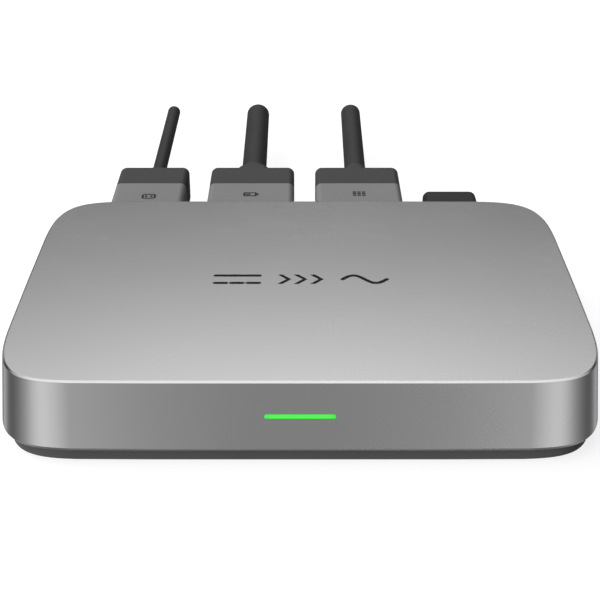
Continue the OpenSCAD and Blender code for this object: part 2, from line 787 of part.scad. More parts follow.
module solar_plug_housing() color(dark) plug_housing(solar_x, dc_w, solar_pins);
module solar_plug_cover() color(pale) plug_cover(solar_x, dc_w);
module solar_plug_boot() color(dark)
  plug_boot(solar_x, dc_w, solar_cable_r, solar_lean, root = [14, 13.8, 5]);
module solar_plug_contacts() color(brass) plug_contacts(solar_x, solar_pins);
module solar_plug_seal() color(rubber) plug_seal(solar_x, dc_w);
module solar_cable_jacket() color(jacket_black)
  cable_jacket(solar_x, solar_cable_r, solar_lean, solar_cable_end);
module solar_cable_cores() color(dc_core_red)
  cable_cores(solar_x, solar_lean, solar_cable_end, solar_cores, solar_pins);
module solar_latch() color(dark) latch(solar_x);
module solar_latch_pin() color(steel) latch_pin(solar_x);

top_shell();
base_plate();
case_gasket();
base_screws();
vent_plug();
light_guide();
led_board();
status_leds();
port_panel();
port_panel_gasket();
grid_socket();
battery_socket();
solar_socket();
grid_socket_pins();
battery_socket_pins();
solar_socket_pins();
antenna_cover();
antenna_board();
antenna_lead();
main_board();
board_screws();
control_board();
wireless_module();
dc_capacitors();
film_capacitors();
transformer_cores();
transformer_windings();
choke_cores();
choke_windings();
relays();
power_transistors();
transistor_clamps();
thermal_potting();
grid_plug_housing();
grid_plug_cover();
grid_plug_boot();
grid_plug_contacts();
grid_plug_seal();
grid_cable_jacket();
grid_cable_cores();
grid_latch();
grid_latch_pin();
battery_plug_housing();
battery_plug_cover();
battery_plug_boot();
battery_plug_contacts();
battery_plug_seal();
battery_cable_jacket();
battery_cable_cores();
battery_latch();
battery_latch_pin();
solar_plug_housing();
solar_plug_cover();
solar_plug_boot();
solar_plug_contacts();
solar_plug_seal();
solar_cable_jacket();
solar_cable_cores();
solar_latch();
solar_latch_pin();
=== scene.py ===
"""A flat power converter case with three cable plugs in its back wall.

The case lies on the floor, z = 0. Its front, with the light bar, faces -y, and the plugs and
the antenna cover are on the +y side. Shapes are in millimetres and become metres in new_mesh().
"""
import math

import bmesh
import bpy
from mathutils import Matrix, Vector


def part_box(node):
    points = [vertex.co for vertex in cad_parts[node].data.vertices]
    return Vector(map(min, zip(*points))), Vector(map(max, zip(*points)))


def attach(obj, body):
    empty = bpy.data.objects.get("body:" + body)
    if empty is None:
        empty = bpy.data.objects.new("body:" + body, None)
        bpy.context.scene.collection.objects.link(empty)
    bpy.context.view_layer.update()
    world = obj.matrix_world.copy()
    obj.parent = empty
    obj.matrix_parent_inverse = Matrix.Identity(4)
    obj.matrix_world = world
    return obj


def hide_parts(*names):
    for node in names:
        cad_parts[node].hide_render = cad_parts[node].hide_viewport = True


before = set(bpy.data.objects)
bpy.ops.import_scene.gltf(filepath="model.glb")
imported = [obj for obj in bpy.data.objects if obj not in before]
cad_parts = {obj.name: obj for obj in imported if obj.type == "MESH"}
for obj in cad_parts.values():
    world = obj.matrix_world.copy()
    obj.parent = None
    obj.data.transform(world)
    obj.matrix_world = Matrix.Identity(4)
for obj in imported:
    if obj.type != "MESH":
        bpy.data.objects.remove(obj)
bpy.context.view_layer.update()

MM = 0.001
PI = math.pi


# ------------------------------------------------------------------ shader graphs
def rgba(value):
    """A grey level or an RGB triple, as RGBA."""
    return (*value, 1) if isinstance(value, tuple) else (value, value, value, 1)


class Graph:
    """A node tree, with short ways to add nodes to it. Most methods return an output socket."""

    def __init__(self, tree):
        self.tree = tree

    def node(self, kind, **settings):
        node = self.tree.nodes.new("ShaderNode" + kind)
        for key, value in settings.items():
            setattr(node, key, value)
        return node

    def feed(self, node, values):
        """Links or sets the inputs of a node. A triple is taken as a colour."""
        for key, value in values.items():
            if isinstance(value, bpy.types.NodeSocket):
                self.tree.links.new(value, node.inputs[key])
            elif isinstance(value, tuple):
                node.inputs[key].default_value = rgba(value)
            else:
                node.inputs[key].default_value = value

    def coords(self, output="Object"):
        return self.node("TexCoord").outputs[output]

    def split(self, vector):
        node = self.node("SeparateXYZ")
        self.feed(node, {0: vector})
        return node.outputs

    def ramp(self, factor, stops, interpolation="LINEAR"):
        node = self.node("ValToRGB")
        node.color_ramp.interpolation = interpolation
        elements = node.color_ramp.elements
        while len(elements) > 1:
            elements.remove(elements[-1])
        elements[0].position = stops[0][0]
        elements[0].color = rgba(stops[0][1])
        for position, value in stops[1:]:
            elements.new(position).color = rgba(value)
        self.feed(node, {0: factor})
        return node.outputs[0]

    def math(self, operation, *values, clamp=False):
        node = self.node("Math", operation=operation, use_clamp=clamp)
        self.feed(node, dict(enumerate(values)))
        return node.outputs[0]

    def remap(self, value, span, to, smooth=False):
        """Maps the range span of a value onto the range to."""
        node = self.node("MapRange", interpolation_type="SMOOTHSTEP" if smooth else "LINEAR")
        self.feed(node, {"From Min": span[0], "From Max": span[1],
                         "To Min": to[0], "To Max": to[1], "Value": value})
        return node.outputs["Result"]

    def mix(self, factor, a, b, blend="MIX"):
        node = self.node("Mix", data_type="RGBA", blend_type=blend)
        self.feed(node, {0: factor, 6: a, 7: b})
        return node.outputs[2]

    def multiply(self, a, b):
        return self.mix(1.0, a, b, "MULTIPLY")

    def noise(self, vector, scale, detail=2.0, roughness=0.5, stretch=None):
        if stretch:
            mapping = self.node("Mapping")
            mapping.inputs["Scale"].default_value = stretch
            self.feed(mapping, {"Vector": vector})
            vector = mapping.outputs[0]
        node = self.node("TexNoise")
        self.feed(node, {"Scale": scale, "Detail": detail, "Roughness": roughness,
                         "Vector": vector})
        return node.outputs["Fac"]

    def bump(self, height, strength, depth):
        """A bumped normal, depth in millimetres."""
        node = self.node("Bump")
        self.feed(node, {"Strength": strength, "Distance": depth * MM, "Height": height})
        return node.outputs[0]


# ------------------------------------------------------------------ materials
def surface(name, colour, roughness, metallic, grain, bump, depth, var=0.06, rvar=0.06,
            cloud=35, stretch=None, coat=0.0, specular=0.5, pits=False, anisotropy=0.0):
    """A surface with fine grain in its bump and slow changes of colour and roughness.

    grain and cloud are the scales of the fine and the slow noise; var and rvar are how far
    the colour and the roughness stray.
    """
    material = bpy.data.materials.new(name)
    material.use_nodes = True
    material.node_tree.nodes.clear()
    g = Graph(material.node_tree)
    output = g.node("OutputMaterial")
    shader = g.node("BsdfPrincipled")
    g.feed(output, {0: shader.outputs[0]})
    coords = g.coords()
    slow = g.noise(coords, scale=cloud, detail=3.0, roughness=0.55)
    fine = g.noise(coords, scale=grain, detail=2.0, roughness=0.6, stretch=stretch)
    darker = tuple(c * (1 - var) for c in colour)
    lighter = tuple(min(1, c * (1 + var)) for c in colour)
    in_grain = tuple(c * (1 - var * 1.6) for c in colour)
    base = g.ramp(slow, [(0.3, darker), (0.7, lighter)])
    base = g.mix(g.remap(fine, span=(0.35, 0.65), to=(0.0, 0.35)), base, in_grain)
    rough = g.math(
        "ADD",
        g.remap(slow, span=(0.3, 0.7), to=(roughness - rvar, roughness + rvar)),
        g.remap(fine, span=(0.3, 0.7), to=(-rvar / 2, rvar / 2)), clamp=True)
    g.feed(shader, {"Base Color": base, "Metallic": metallic,
                    "Specular IOR Level": specular, "Roughness": rough})
    if coat:
        g.feed(shader, {"Coat Weight": coat, "Coat Roughness": 0.25})
    if anisotropy:
        g.feed(shader, {"Anisotropic": anisotropy})
    if pits:
        cells = g.node("TexVoronoi")
        g.feed(cells, {"Scale": grain * 0.6, "Vector": coords})
        fine = g.math("ADD", fine, g.math("MULTIPLY", cells.outputs["Distance"], 0.6))
    g.feed(shader, {"Normal": g.bump(fine, strength=bump, depth=depth)})
    return material


def principled(material):
    return next(n for n in material.node_tree.nodes if n.type == "BSDF_PRINCIPLED")


# Name, colour, roughness, metallic, grain scale, bump strength, bump depth in mm, other settings
SURFACES = [
    ("satin_shell", (0.60, 0.60, 0.605), 0.27, 1.0, 5200, 0.18, 0.012,
     dict(var=0.008, rvar=0.006, cloud=14)),
    ("base_powder_coat", (0.10, 0.10, 0.102), 0.55, 0.0, 1700, 0.45, 0.04,
     dict(var=0.08, pits=True)),
    ("plug_grey", (0.172, 0.172, 0.174), 0.46, 0.0, 2600, 0.25, 0.02,
     dict(specular=0.35, var=0.03, rvar=0.04)),
    ("plug_dark", (0.036, 0.036, 0.037), 0.5, 0.0, 2200, 0.35, 0.03,
     dict(specular=0.25, rvar=0.05, pits=True)),
    ("boot_rubber", (0.046, 0.046, 0.047), 0.56, 0.0, 2000, 0.35, 0.03,
     dict(specular=0.22, rvar=0.05)),
    ("cable_jacket", (0.032, 0.032, 0.033), 0.5, 0.0, 1500, 0.14, 0.02,
     dict(specular=0.22, stretch=(1, 0.25, 1))),
    ("antenna_plastic", (0.021, 0.021, 0.0215), 0.52, 0.0, 2400, 0.35, 0.03,
     dict(specular=0.2, rvar=0.05, pits=True)),
    ("printed_ink", (0.006, 0.006, 0.0065), 0.6, 0.0, 3000, 0.15, 0.01,
     dict(var=0.1, rvar=0.05, specular=0.15)),
    ("plug_print", (0.012, 0.012, 0.0125), 0.6, 0.0, 3000, 0.15, 0.01,
     dict(specular=0.2, var=0.1, rvar=0.05)),
    ("seal_rubber", (0.02, 0.02, 0.02), 0.62, 0.0, 1800, 0.3, 0.03, dict(var=0.12)),
    ("screw_steel", (0.5, 0.5, 0.51), 0.3, 1.0, 900, 0.3, 0.01,
     dict(var=0.08, rvar=0.07, stretch=(1, 1, 0.1), anisotropy=0.4)),
    ("vent_plastic", (0.03, 0.03, 0.03), 0.55, 0.0, 2300, 0.3, 0.03, dict(var=0.1)),
    ("panel_plastic", (0.022, 0.022, 0.023), 0.5, 0.0, 2200, 0.35, 0.03,
     dict(var=0.1, pits=True)),
    ("socket_plastic", (0.03, 0.03, 0.032), 0.48, 0.0, 1500, 0.3, 0.02,
     dict(var=0.12, stretch=(1, 0.3, 1))),
    ("contact_metal", (0.83, 0.62, 0.3), 0.24, 1.0, 1400, 0.15, 0.01,
     dict(stretch=(1, 0.1, 1))),
    ("circuit_board", (0.012, 0.1, 0.045), 0.35, 0.0, 900, 0.3, 0.02,
     dict(var=0.2, coat=0.4)),
    ("led_package", (0.85, 0.82, 0.6), 0.3, 0.0, 1200, 0.2, 0.01, {}),
    ("shield_can", (0.7, 0.7, 0.72), 0.28, 1.0, 700, 0.2, 0.01, dict(stretch=(0.1, 1, 1))),
    ("capacitor_sleeve", (0.02, 0.025, 0.07), 0.25, 0.0, 600, 0.15, 0.02, dict(coat=0.4)),
    ("film_case", (0.6, 0.42, 0.06), 0.35, 0.0, 900, 0.2, 0.02, {}),
    ("ferrite", (0.03, 0.03, 0.033), 0.45, 0.0, 1300, 0.5, 0.04, dict(var=0.15, pits=True)),
    ("powder_core", (0.02, 0.12, 0.08), 0.4, 0.0, 1000, 0.3, 0.03, {}),
    ("enamelled_wire", (0.7, 0.3, 0.12), 0.28, 1.0, 700, 0.6, 0.15,
     dict(var=0.12, stretch=(1, 1, 6))),
    ("relay_case", (0.02, 0.02, 0.028), 0.4, 0.0, 1500, 0.25, 0.02, {}),
    ("transistor_epoxy", (0.02, 0.02, 0.02), 0.45, 0.0, 1700, 0.3, 0.02, {}),
    ("clamp_metal", (0.62, 0.62, 0.63), 0.35, 1.0, 900, 0.3, 0.015,
     dict(stretch=(0.08, 1, 1))),
    ("potting", (0.1, 0.105, 0.11), 0.5, 0.0, 300, 0.25, 0.1, dict(var=0.1)),
    ("lead_jacket", (0.03, 0.03, 0.03), 0.45, 0.0, 1200, 0.2, 0.02, {}),
    ("pin_steel", (0.6, 0.6, 0.61), 0.25, 1.0, 900, 0.2, 0.01, dict(stretch=(0.1, 1, 1))),
]
INSULATION = {
    "brown": (0.10, 0.04, 0.02), "blue": (0.03, 0.08, 0.3), "yellow": (0.55, 0.5, 0.05),
    "red": (0.42, 0.02, 0.015), "black": (0.018, 0.018, 0.018), "white": (0.6, 0.6, 0.58),
}


def stripe_green(material):
    """Adds green stripes across x to a surface, for the earth core."""
    g = Graph(material.node_tree)
    x = g.split(g.coords())[0]
    stripes_per_metre = 450.0
    phase = g.math("FRACT", g.math("MULTIPLY", x, stripes_per_metre))
    stripe = g.math("GREATER_THAN", phase, 0.5)
    shader = principled(material)
    plain = shader.inputs["Base Color"].links[0].from_socket
    g.feed(shader, {"Base Color": g.mix(stripe, plain, (0.02, 0.22, 0.04))})


def light_material():
    """Lit green plastic, dimmer towards its ends and its upper edge, with painted shade darkening
    the glow along its lower edge.
    """
    material = bpy.data.materials.new("light_bar_green")
    material.use_nodes = True
    g = Graph(material.node_tree)
    coords = g.coords()
    x, _, z = g.split(coords)
    # Spans are distances in metres along the bar and heights above the floor
    ends = g.remap(g.math("ABSOLUTE", x), span=(0.0105, 0.0141), to=(1.0, 0.86), smooth=True)
    # painted shade: the glow drops to a dark green along the lower edge; it is also dimmer at the
    # upper edge
    edges = g.math("MULTIPLY",
                   g.remap(z, span=(0.02055, 0.02095), to=(0.12, 1.0), smooth=True),
                   g.remap(z, span=(0.02248, 0.02272), to=(1.0, 0.4), smooth=True))
    mottle = g.remap(g.noise(coords, scale=300), span=(0.3, 0.7), to=(0.96, 1.03))
    level = g.math("MULTIPLY", g.math("MULTIPLY", ends, edges), mottle)
    glow = g.ramp(level, [(0.0, (0.0, 0.12, 0.0)), (0.6, (0.03, 0.62, 0.03)),
                          (1.0, (0.082, 0.86, 0.082))])
    grain = g.bump(g.noise(coords, scale=2500), strength=0.1, depth=0.01)
    g.feed(principled(material), {
        "Base Color": (0.01, 0.09, 0.012), "Roughness": 0.35, "Emission Color": glow,
        "Emission Strength": 1.0, "Normal": grain})
    return material


materials = {row[0]: surface(*row[:-1], **row[-1]) for row in SURFACES}
for tint, colour in INSULATION.items():
    name = "insulation_" + tint
    materials[name] = surface(name, colour, roughness=0.4, metallic=0.0, grain=1500,
                              bump=0.2, depth=0.02, var=0.08)
stripe_green(materials["insulation_yellow"])
materials["light_bar_green"] = light_material()


# ------------------------------------------------------------------ meshes
# A solid is a pair: a list of vertices in mm, and a list of faces.
def new_mesh(name, solid, material=None):
    verts, faces = solid
    mesh = bpy.data.meshes.new(name)
    mesh.from_pydata([(x * MM, y * MM, z * MM) for x, y, z in verts], [], faces)
    ob = bpy.data.objects.new(name, mesh)
    bpy.context.scene.collection.objects.link(ob)
    if material is not None:
        mesh.materials.append(material)
    return ob


def finish(ob, angle=32, weighted=True):
    """Cleans a mesh and shades it smooth, with edges sharp above an angle in degrees."""
    merge = 1e-7
    mesh = ob.data
    bm = bmesh.new()
    bm.from_mesh(mesh)
    bmesh.ops.remove_doubles(bm, verts=bm.verts, dist=merge)
    bmesh.ops.dissolve_degenerate(bm, dist=merge, edges=bm.edges)
    bmesh.ops.recalc_face_normals(bm, faces=bm.faces)
    bm.to_mesh(mesh)
    bm.free()
    mesh.shade_smooth()
    mesh.set_sharp_from_angle(angle=math.radians(angle))
    if weighted:
        normals = ob.modifiers.new("normals", "WEIGHTED_NORMAL")
        normals.keep_sharp = True
        normals.weight = 80


def cut(ob, solids):
    """Takes solids out of a piece, and leaves no modifier behind."""
    tools = []
    for i, solid in enumerate(solids):
        tool = new_mesh("tool%d" % i, solid)
        finish(tool, weighted=False)
        tools.append(tool)
        boolean = ob.modifiers.new("cut%d" % i, "BOOLEAN")
        boolean.object = tool
        boolean.operation = "DIFFERENCE"
        boolean.solver = "EXACT"
    depsgraph = bpy.context.evaluated_depsgraph_get()
    result = bpy.data.meshes.new_from_object(ob.evaluated_get(depsgraph))
    ob.modifiers.clear()
    uncut = ob.data
    ob.data = result
    bpy.data.meshes.remove(uncut)
    for tool in tools:
        mesh = tool.data
        bpy.data.objects.remove(tool)
        bpy.data.meshes.remove(mesh)


def add(name, solid, material, body, slot, *replaced, tools=(), angle=32, weighted=True):
    """Builds a piece, cuts tools out of it, ties it to a body and hides the CAD nodes it
    replaces. The slot is not used.
    """
    ob = new_mesh(name, solid, materials[material])
    if tools:
        cut(ob, tools)
    finish(ob, angle, weighted)
    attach(ob, body)
    if replaced:
        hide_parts(*replaced)


def node_box(node):
    """The low and high corners of a CAD node, in mm."""
    low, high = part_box(node)
    return [c / MM for c in low], [c / MM for c in high]


def skin(rings, closed=False):
    """A solid of quads through equal rings, with capped ends, or joined end to end."""
    size, count = len(rings[0]), len(rings)
    verts = [point for ring in rings for point in ring]
    faces = []
    for j in range(count if closed else count - 1):
        j2 = (j + 1) % count
        for i in range(size):
            i2 = (i + 1) % size
            faces.append((j * size + i, j * size + i2, j2 * size + i2, j2 * size + i))
    if not closed:
        faces.append(tuple(range(size - 1, -1, -1)))
        faces.append(tuple((count - 1) * size + i for i in range(size)))
    return verts, faces


def join(solids):
    verts, faces = [], []
    for more_verts, more_faces in solids:
        start = len(verts)
        verts += more_verts
        faces += [tuple(i + start for i in face) for face in more_faces]
    return verts, faces


QUADRANTS = ((1, 1), (-1, 1), (-1, -1), (1, -1))  # signs of the corners, anticlockwise


def rounded(w, h, radius, steps=8, x=0.0, y=0.0):
    """A rounded rectangle about (x, y)."""
    flat = 1e-4  # half of the shortest straight side left
    radius = min(radius, w / 2 - flat, h / 2 - flat)
    points = []
    for quarter, (sx, sy) in enumerate(QUADRANTS):
        for i in range(steps + 1):
            a = math.radians(quarter * 90 + i * 90 / steps)
            points.append((x + (sx * (w / 2 - radius) + radius * math.cos(a)),
                           y + (sy * (h / 2 - radius) + radius * math.sin(a))))
    return points


def section(x, y, z, w, h, radius, steps=8):
    """A rounded rectangle standing across the y axis."""
    return [(a, y, b) for a, b in rounded(w, h, radius, steps, x, z)]


def circle(radius, count, x=0.0, y=0.0):
    return [(x + radius * math.cos(2 * PI * i / count), y + radius * math.sin(2 * PI * i / count))
            for i in range(count)]


def circle_section(x, y, z, radius, count):
    """A circle standing across the y axis."""
    return [(a, y, b) for a, b in circle(radius, count, x, z)]


def turned(x, y, profile, count):
    """A solid about an upright axis, from a profile of (radius, z)."""
    return skin([[(a, b, z) for a, b in circle(radius, count, x, y)] for radius, z in profile])


# ------------------------------------------------------------------ case outline
CASE_W, CASE_D = 242.2, 169.0
CORNER_X, CORNER_Y = 63.0, 80.0  # how far a corner curve reaches along each side
CORNER_POWER = 5.9
CORNER_STEPS = 48
(_, _, BASE_H), (_, _, TOP) = node_box("top_shell")
DRAFT = 2.7  # how much further out the wall is at its foot than at its top
FOOT_H, FOOT_IN = 1.6, 0.8  # slope under the foot of the wall: its height, and how far in
WALL, ROOF = 4.2, 2.8
BEVEL = 0.82
WALL_FOOT, WALL_TOP = BASE_H + FOOT_H, TOP - 0.55


def corner(cx, cy, rx, ry, start, power):
    """A superellipse quarter whose points are spread evenly by direction of the normal."""
    points = []
    for i in range(CORNER_STEPS + 1):
        spread = math.tan(i / CORNER_STEPS * PI / 2) ** (power / (2 * (power - 1)))
        turn = PI / 2 if i == CORNER_STEPS else math.atan(spread)
        a = math.radians(start) + turn
        c, s = [0.0 if abs(v) < 1e-9 else v for v in (math.cos(a), math.sin(a))]
        points.append((cx + rx * math.copysign(abs(c) ** (2 / power), c),
                       cy + ry * math.copysign(abs(s) ** (2 / power), s)))
    return points


def outline(w, d, rx, ry, power, z):
    points = []
    for quarter, (sx, sy) in enumerate(QUADRANTS):
        points += corner(sx * (w / 2 - rx), sy * (d / 2 - ry), rx, ry, quarter * 90, power)
    return [(x, y, z) for x, y in points]


def case_ring(out, z):
    """The case outline, moved outwards."""
    return outline(CASE_W + 2 * out, CASE_D + 2 * out, CORNER_X + out, CORNER_Y + out,
                   CORNER_POWER, z)


def wall_out(z):
    """How far the drafted wall lies outside the case outline."""
    return DRAFT * (WALL_TOP - z) / (WALL_TOP - WALL_FOOT)


def wall_y(x, z):
    """Distance of the outer front or back wall from the middle, at x and z."""
    out = wall_out(z)
    u = min(1.0, max(0.0, abs(x) - (CASE_W / 2 - CORNER_X)) / (CORNER_X + out))
    curve = (1 - u ** CORNER_POWER) ** (1 / CORNER_POWER)
    return CASE_D / 2 - CORNER_Y + (CORNER_Y + out) * curve


# ------------------------------------------------------------------ light bar sections
guide_low, guide_high = node_box("light_guide")
BAR_Z = (guide_low[2] + guide_high[2]) / 2
BAR_W, BAR_H = 27.8, 2.1
BAR_GAP = 0.1


def bar_flat(y, grow):
    """The bar's outline in a flat plane."""
    return section(0, y, BAR_Z, BAR_W + 2 * grow, BAR_H + 2 * grow, BAR_H / 2 + grow, 10)


def bar_on_wall(grow, out):
    """The bar's outline bent to the front wall and lying outside it."""
    return [(x, -(wall_y(x, z) + out), z) for x, _, z in bar_flat(0, grow)]


# ------------------------------------------------------------------ back window
cover_low, cover_high = node_box("grid_plug_cover")
PLUG_Z = (cover_low[2] + cover_high[2]) / 2
WINDOW_X, WINDOW_W, WINDOW_H, WINDOW_R = -3.0, 195.2, 21.0, 3.2
BACK = CASE_D / 2


def window(y, grow):
    return section(WINDOW_X, y, PLUG_Z, WINDOW_W + 2 * grow, WINDOW_H + 2 * grow,
                   WINDOW_R + grow, 10)


# ------------------------------------------------------------------ case pieces
def build_shell():
    ceiling = TOP - ROOF
    rings = [
        # inside, from the ceiling down, then the foot
        case_ring(-WALL - 1.0, ceiling),
        case_ring(-WALL - 0.3, ceiling - 0.3),
        case_ring(-WALL, ceiling - 1.0),
        case_ring(-WALL, BASE_H),
        case_ring(DRAFT - FOOT_IN - 0.06, BASE_H),
        case_ring(DRAFT - FOOT_IN, BASE_H + 0.08),
        case_ring(DRAFT - 0.06, WALL_FOOT - 0.12),
        case_ring(DRAFT - 0.01, WALL_FOOT + 0.12),
    ]
    rings += [case_ring(wall_out(z), z) for z in (TOP - 24, TOP - 12, TOP - BEVEL - 0.5)]
    # top edge: a narrow 45 degree bevel, rounded where it meets the wall and the top
    ease = 0.22
    out = wall_out(TOP - BEVEL)
    for start, shift in ((0, 0.0), (45, BEVEL - ease)):
        for i in range(5):
            t = math.radians(start + 45 * i / 4)
            rings.append(case_ring(out - shift - ease * (1 - math.cos(t)),
                                   TOP - BEVEL + shift + ease * math.sin(t)))
    rings.append(case_ring(out - BEVEL - 1.2, TOP))

    slot_end = -CASE_D / 2 - wall_out(BAR_Z) + 9
    bar_slot = skin([bar_on_wall(BAR_GAP, 0.98), bar_on_wall(BAR_GAP, -0.3),
                     bar_flat(slot_end, BAR_GAP)])
    opening = skin([window(BACK - 12, 0), window(BACK + 6, 0)])
    add("case_shell", skin(rings), "satin_shell", "case", "shell_satin_metal", "top_shell",
        tools=[bar_slot, opening], angle=28)


def build_port_frame():
    """A frame behind the window, so the opening has depth."""
    rings = [window(BACK - 2.9, 2.4), window(BACK - 2.9, 0.02),
             window(BACK - 7.0, 0.02), window(BACK - 7.0, 3.4)]
    add("port_frame", skin(rings, closed=True), "satin_shell", "case", "shell_satin_metal")


# Places, and profiles of (radius, z), of the holes in the underside
SCREW_HOLES = [(-106, -68), (106, -68), (-106, 68), (106, 68), (-113.4, 0), (113.4, 0),
               (-45, -77), (45, -77), (-52.3, 77.2), (2.5, 77.2), (58.5, 77.2)]
SCREW_PROFILE = [(3.45, -0.5), (2.95, 0.2), (2.95, 2.4), (1.7, 2.4), (1.7, 9.0)]
BLIND_HOLES = [(sx * 75, sy * 50) for sx in (-1, 1) for sy in (-1, 1)]
BLIND_PROFILE = [(2.9, -0.5), (2.0, 0.4), (2.0, 2.9)]
VENT_HOLE = (-40, 0)
VENT_PROFILE = [(7.8, -0.5), (7.3, 0.15), (7.3, 1.4), (4.05, 1.4), (4.05, 6.0)]


def build_base():
    def floor_ring(shrink, z):
        """The sunk floor inside the pan."""
        return outline(214 - shrink, 142 - shrink, 34 - shrink / 2, 34 - shrink / 2, 3.5, z)

    inset, ease = 0.2, 0.35
    rings = [floor_ring(1, 3.2), floor_ring(0, 3.5), floor_ring(0, BASE_H),
             case_ring(-inset - 0.25, BASE_H), case_ring(-inset - 0.02, BASE_H - 0.25),
             case_ring(-inset, 1.0)]
    for i in range(6):
        t = i / 5 * PI / 2
        rings.append(case_ring(-inset - ease * (1 - math.cos(t)), ease - ease * math.sin(t)))
    rings.append(case_ring(-2.4, 0.0))
    tools = [turned(x, y, SCREW_PROFILE, 36) for x, y in SCREW_HOLES]
    tools += [turned(x, y, BLIND_PROFILE, 36) for x, y in BLIND_HOLES]
    tools.append(turned(*VENT_HOLE, VENT_PROFILE, 48))
    add("base_pan", skin(rings), "base_powder_coat", "case", "base_dark_metal", "base_plate",
        tools=tools, angle=28)


def build_light_bar():
    flange_back = -CASE_D / 2 + 5.2
    flange_front = flange_back - 0.9
    rings = [bar_flat(flange_back, 1.2), bar_flat(flange_front, 1.2), bar_flat(flange_front, 0)]
    # Growth and distance outside the wall, over the eased front edge
    face = [(0.08, -0.2), (0.08, -0.06), (0.02, 0.01), (-0.12, 0.04), (-0.4, 0.045)]
    rings += [bar_on_wall(grow, out) for grow, out in face]
    add("light_bar", skin(rings), "light_bar_green", "case", "light_guide_green", "light_guide")


# ------------------------------------------------------------------ printed marks
def slab(points, z0, z1):
    """A flat print lying between two heights."""
    return skin([[(x, y, z) for x, y in points] for z in (z0, z1)])


def hollow_slab(x, y, w, h, radius, line, z0, z1):
    """A printed frame: a rounded rectangle drawn with a line of given width."""
    outer = rounded(w, h, radius, 5, x, y)
    inner = rounded(w - 2 * line, h - 2 * line, max(0.05, radius - line), 5, x, y)
    sides = ((outer, z0), (outer, z1), (inner, z1), (inner, z0))
    return skin([[(a, b, z) for a, b in points] for points, z in sides], closed=True)


def stroke(path, width):
    """The outline of a stroke along a path, with round ends."""
    steps = 6
    half = width / 2
    left, right = [], []
    for i, (x, y) in enumerate(path):
        x0, y0 = path[max(0, i - 1)]
        x1, y1 = path[min(len(path) - 1, i + 1)]
        dx, dy = x1 - x0, y1 - y0
        length = math.hypot(dx, dy)
        nx, ny = -dy / length * half, dx / length * half
        left.append((x + nx, y + ny))
        right.append((x - nx, y - ny))

    def cap(start, end):
        cx, cy = (start[0] + end[0]) / 2, (start[1] + end[1]) / 2
        a0 = math.atan2(start[1] - cy, start[0] - cx)
        angles = [a0 - PI * i / (steps + 1) for i in range(1, steps + 1)]
        return [(cx + half * math.cos(a), cy + half * math.sin(a)) for a in angles]

    return left + cap(left[-1], right[-1]) + right[::-1] + cap(right[0], left[0])


def build_mark():
    """The mark on the top: a line over three dashes, three chevrons and a wave."""
    line = 1.95
    shift_x, shift_y = 0.3, 0.15
    dash_x, dash_y, dash_pitch = -38.0, 3.5, 7.3
    shapes = [stroke([(dash_x, dash_y), (-18.4, dash_y)], line)]
    for i in range(3):
        x = dash_x + i * dash_pitch
        shapes.append(stroke([(x, -dash_y), (x + 5.0, -dash_y)], line))
    chevron_x, chevron_pitch = -9.4, 7.2
    chevron = [(-0.9, 4.4), (1.3, 4.4), (5.2, 0.0), (1.3, -4.4), (-0.9, -4.4), (3.0, 0.0)]
    for i in range(3):
        shapes.append([(chevron_x + i * chevron_pitch + x, y) for x, y in chevron])
    wave_x, wave_length, wave_height = 18.6, 19.6, 3.55
    shapes.append(stroke([(wave_x + wave_length * i / 48, wave_height * math.sin(2 * PI * i / 48))
                          for i in range(49)], line))
    solids = [slab([(x + shift_x, y + shift_y) for x, y in shape], TOP - 0.01, TOP + 0.025)
              for shape in shapes]
    add("converter_mark", join(solids), "printed_ink", "case", None, weighted=False)


# ------------------------------------------------------------------ plugs
PLUG_R = 3.2  # corner radius of the plugs and the antenna cover
BOOT_END = 143.2  # y of the boots' back faces, where the cables leave
SLEEVE_CLEARANCE = 0.06
COPPER_SHARE = 0.66  # radius of a core's copper, as a share of the core's


def rounded_end(y, w, h, depth, squash):
    """Stations (y, w, h, radius) that round a block off towards its +y end.

    squash is how much the height narrows for each mm of the width.
    """
    stations = []
    for i in range(11):
        a = i / 10 * PI / 2
        narrow = 2 * depth * (1 - math.cos(a))
        radius = max(PLUG_R * math.cos(a) + 0.6 * math.sin(a), 0.6)
        stations.append((y - depth * (1 - math.sin(a)), w - narrow, h - squash * narrow, radius))
    return stations


